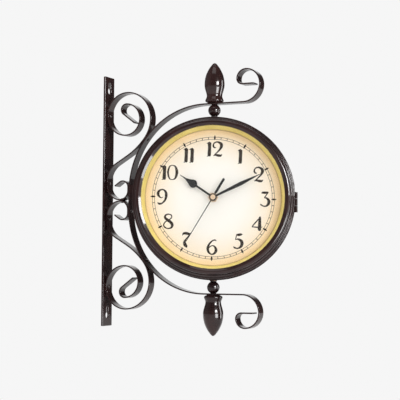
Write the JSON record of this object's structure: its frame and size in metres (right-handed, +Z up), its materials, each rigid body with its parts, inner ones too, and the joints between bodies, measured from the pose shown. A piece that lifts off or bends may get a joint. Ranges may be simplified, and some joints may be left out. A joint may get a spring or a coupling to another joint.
{
  "type": "double sided station clock",
  "caption": "Round double faced wall clock that swivels between finials on a hooped flat strip arm with scrolls; one face opens as a hinged door.",
  "frame": {"origin": "centre of the wall plate's back face, on the wall", "axes": "+X out of the wall, +Z up, -Y towards the side that the front face is turned to; the clock rests turned 23 degrees about its upright pivots"},
  "size_m": [0.2869, 0.1694, 0.3818],
  "materials": {
    "case_enamel": "dark brown gloss enamel on spun steel, soft lilac sheen",
    "iron_enamel": "dark brown gloss enamel on forged flat strip and turned parts",
    "gold_paint": "satin gold inner ring",
    "dial_paper": "cream dial with an aged amber edge, plain printed numerals",
    "hand_black": "matt black",
    "arbor_brass": "turned brass",
    "wheel_plastic": "moulded natural white",
    "movement_black": "moulded black",
    "steel": "bright turned steel",
    "bush_bronze": "plain bearing bronze",
    "clear_glass": "flat clear glass",
    "plate_zinc": "zinc plated sheet",
    "cell_jacket": "plain printed jacket with bare steel ends",
    "coil_copper": "enamelled copper winding",
    "board_green": "solder resist",
    "magnet_grey": "sintered ferrite"
  },
  "bodies": {
    "bracket": {"wall_plate": "iron_enamel", "hoop_arm": "iron_enamel", "upper_scroll": "iron_enamel", "lower_scroll": "iron_enamel", "plate_rivets": "iron_enamel", "arm_rivets": "iron_enamel", "top_finial": "iron_enamel", "bottom_finial": "iron_enamel", "top_bead": "iron_enamel", "bottom_bead": "iron_enamel", "top_pivot_pin": "steel", "bottom_pivot_pin": "steel", "pivot_washers": "steel"},
    "case": {"centre_band": "case_enamel", "rear_shell": "case_enamel", "pivot_bushes": "bush_bronze", "hinge_band_leaf": "case_enamel", "hinge_pin": "steel", "catch_magnet": "magnet_grey", "rear_bezel": "case_enamel", "rear_glass": "clear_glass", "rear_gold_ring": "gold_paint", "rear_dial": "dial_paper", "rear_dial_plate": "plate_zinc", "rear_movement_case": "movement_black", "rear_movement_cover": "movement_black", "rear_movement_nut": "arbor_brass", "rear_battery": "cell_jacket", "rear_coil": "coil_copper", "rear_circuit_board": "board_green"},
    "door": {"front_shell": "case_enamel", "hinge_door_leaf": "case_enamel", "door_tab": "case_enamel", "front_bezel": "case_enamel", "front_glass": "clear_glass", "front_gold_ring": "gold_paint", "front_dial": "dial_paper", "front_dial_plate": "plate_zinc", "front_movement_case": "movement_black", "front_movement_cover": "movement_black", "front_movement_nut": "arbor_brass", "front_battery": "cell_jacket", "front_coil": "coil_copper", "front_circuit_board": "board_green"},
    "front_minutes": {"front_minute_hand": "hand_black", "front_minute_arbor": "wheel_plastic"},
    "front_hours": {"front_hour_hand": "hand_black", "front_hour_wheel": "wheel_plastic"},
    "front_seconds": {"front_second_hand": "hand_black", "front_second_arbor": "arbor_brass"},
    "front_motion": {"front_motion_wheel": "wheel_plastic"},
    "front_knob": {"front_set_knob": "wheel_plastic"},
    "rear_minutes": {"rear_minute_hand": "hand_black", "rear_minute_arbor": "wheel_plastic"},
    "rear_hours": {"rear_hour_hand": "hand_black", "rear_hour_wheel": "wheel_plastic"},
    "rear_seconds": {"rear_second_hand": "hand_black", "rear_second_arbor": "arbor_brass"},
    "rear_motion": {"rear_motion_wheel": "wheel_plastic"},
    "rear_knob": {"rear_set_knob": "wheel_plastic"}
  },
  "joints": [
    {"name": "case_swivel", "type": "hinge", "parent": "bracket", "child": "case", "pos_m": [0.172, 0, 0], "axis": [0, 0, 1], "range_deg": [-45, 130]},
    {"name": "door_hinge", "type": "hinge", "parent": "case", "child": "door", "pos_m": [0.27982, 0.038, -0.005], "axis": [0, 0, 1], "range_deg": [0, 115]},
    {"name": "front_minute_turn", "type": "hinge", "parent": "door", "child": "front_minutes", "pos_m": [0.172, 0, 0], "axis": [-0.3907, 0.9205, 0], "continuous": true},
    {"name": "front_hour_turn", "type": "hinge", "parent": "door", "child": "front_hours", "pos_m": [0.172, 0, 0], "axis": [-0.3907, 0.9205, 0], "continuous": true},
    {"name": "front_second_turn", "type": "hinge", "parent": "door", "child": "front_seconds", "pos_m": [0.172, 0, 0], "axis": [-0.3907, 0.9205, 0], "continuous": true},
    {"name": "front_motion_turn", "type": "hinge", "parent": "door", "child": "front_motion", "pos_m": [0.16371, -0.00352, 0], "axis": [-0.3907, 0.9205, 0], "continuous": true},
    {"name": "front_knob_turn", "type": "hinge", "parent": "door", "child": "front_knob", "pos_m": [0.15543, -0.00703, 0], "axis": [-0.3907, 0.9205, 0], "continuous": true},
    {"name": "rear_minute_turn", "type": "hinge", "parent": "case", "child": "rear_minutes", "pos_m": [0.172, 0, 0], "axis": [0.3907, -0.9205, 0], "continuous": true},
    {"name": "rear_hour_turn", "type": "hinge", "parent": "case", "child": "rear_hours", "pos_m": [0.172, 0, 0], "axis": [0.3907, -0.9205, 0], "continuous": true},
    {"name": "rear_second_turn", "type": "hinge", "parent": "case", "child": "rear_seconds", "pos_m": [0.172, 0, 0], "axis": [0.3907, -0.9205, 0], "continuous": true},
    {"name": "rear_motion_turn", "type": "hinge", "parent": "case", "child": "rear_motion", "pos_m": [0.18029, 0.00352, 0], "axis": [0.3907, -0.9205, 0], "continuous": true},
    {"name": "rear_knob_turn", "type": "hinge", "parent": "case", "child": "rear_knob", "pos_m": [0.18857, 0.00703, 0], "axis": [0.3907, -0.9205, 0], "continuous": true}
  ],
  "couplings": [
    {"joint": "front_hour_turn", "follows": "front_minute_turn", "ratio": 0.083333},
    {"joint": "front_motion_turn", "follows": "front_minute_turn", "ratio": -0.33333},
    {"joint": "front_knob_turn", "follows": "front_minute_turn", "ratio": 1},
    {"joint": "rear_hour_turn", "follows": "rear_minute_turn", "ratio": 0.083333},
    {"joint": "rear_motion_turn", "follows": "rear_minute_turn", "ratio": -0.33333},
    {"joint": "rear_knob_turn", "follows": "rear_minute_turn", "ratio": 1}
  ]
}
